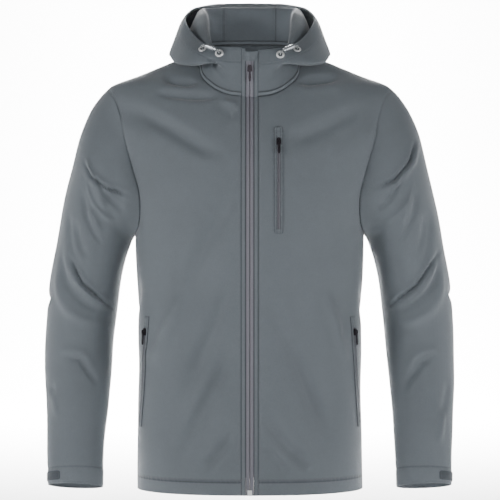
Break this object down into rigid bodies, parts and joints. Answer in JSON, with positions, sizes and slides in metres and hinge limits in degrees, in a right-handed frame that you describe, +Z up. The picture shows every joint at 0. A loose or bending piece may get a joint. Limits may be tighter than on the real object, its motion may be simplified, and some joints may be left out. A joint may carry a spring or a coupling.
{
  "type": "hooded softshell jacket",
  "caption": "Men's zip-front softshell jacket in its worn shape with nobody in it: hood pushed back, set-in sleeves, zipped chest and side pockets.",
  "frame": {"origin": "midway between the two points where the shoulder seams meet the neck, where the jacket rests on the wearer", "axes": "+Z up, -Y the front, +X the wearer's left"},
  "size_m": [0.694, 0.2953, 0.838],
  "materials": {
    "softshell": "fine matt grey woven face",
    "zip_tape": "water-resistant coated zip tape",
    "grip_tab": "hook-and-loop face",
    "cord": "braided elastic cord",
    "gunmetal": "dark satin",
    "silver": "polished",
    "clear_grey": "silvered glossy plastic"
  },
  "bodies": {
    "jacket": {"front_left": "softshell", "front_right": "softshell", "back": "softshell", "sleeve_right": "softshell", "cuff_right": "softshell", "sleeve_left": "softshell", "cuff_left": "softshell", "cuff_tab_right": "grip_tab", "cuff_tab_left": "grip_tab", "hood_side_right": "softshell", "hood_side_left": "softshell", "hood_centre": "softshell", "neck_band": "softshell", "hood_casing": "softshell", "placket_right": "softshell", "zip_tape_right": "zip_tape", "placket_left": "softshell", "zip_tape_left": "zip_tape", "front_zip_slider": "gunmetal", "zip_end_box": "silver", "chin_guard": "softshell", "chest_pocket_welt": "softshell", "chest_pocket_zip": "zip_tape", "chest_pocket_slider": "gunmetal", "side_pocket_right_welt": "softshell", "side_pocket_right_zip": "zip_tape", "side_pocket_right_slider": "gunmetal", "side_pocket_left_welt": "softshell", "side_pocket_left_zip": "zip_tape", "side_pocket_left_slider": "gunmetal", "eyelet_right_inner": "silver", "eyelet_right_outer": "silver", "cord_lock_right": "clear_grey", "drawcord_right": "cord", "eyelet_left_inner": "silver", "eyelet_left_outer": "silver", "cord_lock_left": "clear_grey", "drawcord_left": "cord"},
    "front_zip_tab": {"front_zip_pull": "gunmetal"},
    "chest_pocket_tab": {"chest_pocket_pull": "gunmetal"},
    "side_pocket_right_tab": {"side_pocket_right_pull": "gunmetal"},
    "side_pocket_left_tab": {"side_pocket_left_pull": "gunmetal"}
  },
  "joints": [
    {"name": "front_zip_pull_hinge", "type": "hinge", "parent": "jacket", "child": "front_zip_tab", "pos_m": [0, -0.10454, -0.0385], "axis": [-1, 0, 0], "range_deg": [0, 150]},
    {"name": "chest_pocket_pull_hinge", "type": "hinge", "parent": "jacket", "child": "chest_pocket_tab", "pos_m": [0.04766, -0.12707, -0.15907], "axis": [-0.9974, -0.0694, 0.0204], "range_deg": [0, 150]},
    {"name": "side_pocket_right_pull_hinge", "type": "hinge", "parent": "jacket", "child": "side_pocket_right_tab", "pos_m": [-0.17795, -0.06641, -0.47407], "axis": [-0.5366, 0.8322, 0.1396], "range_deg": [0, 150]},
    {"name": "side_pocket_left_pull_hinge", "type": "hinge", "parent": "jacket", "child": "side_pocket_left_tab", "pos_m": [0.17795, -0.0664, -0.47407], "axis": [-0.5366, -0.8322, -0.14], "range_deg": [0, 150]}
  ]
}
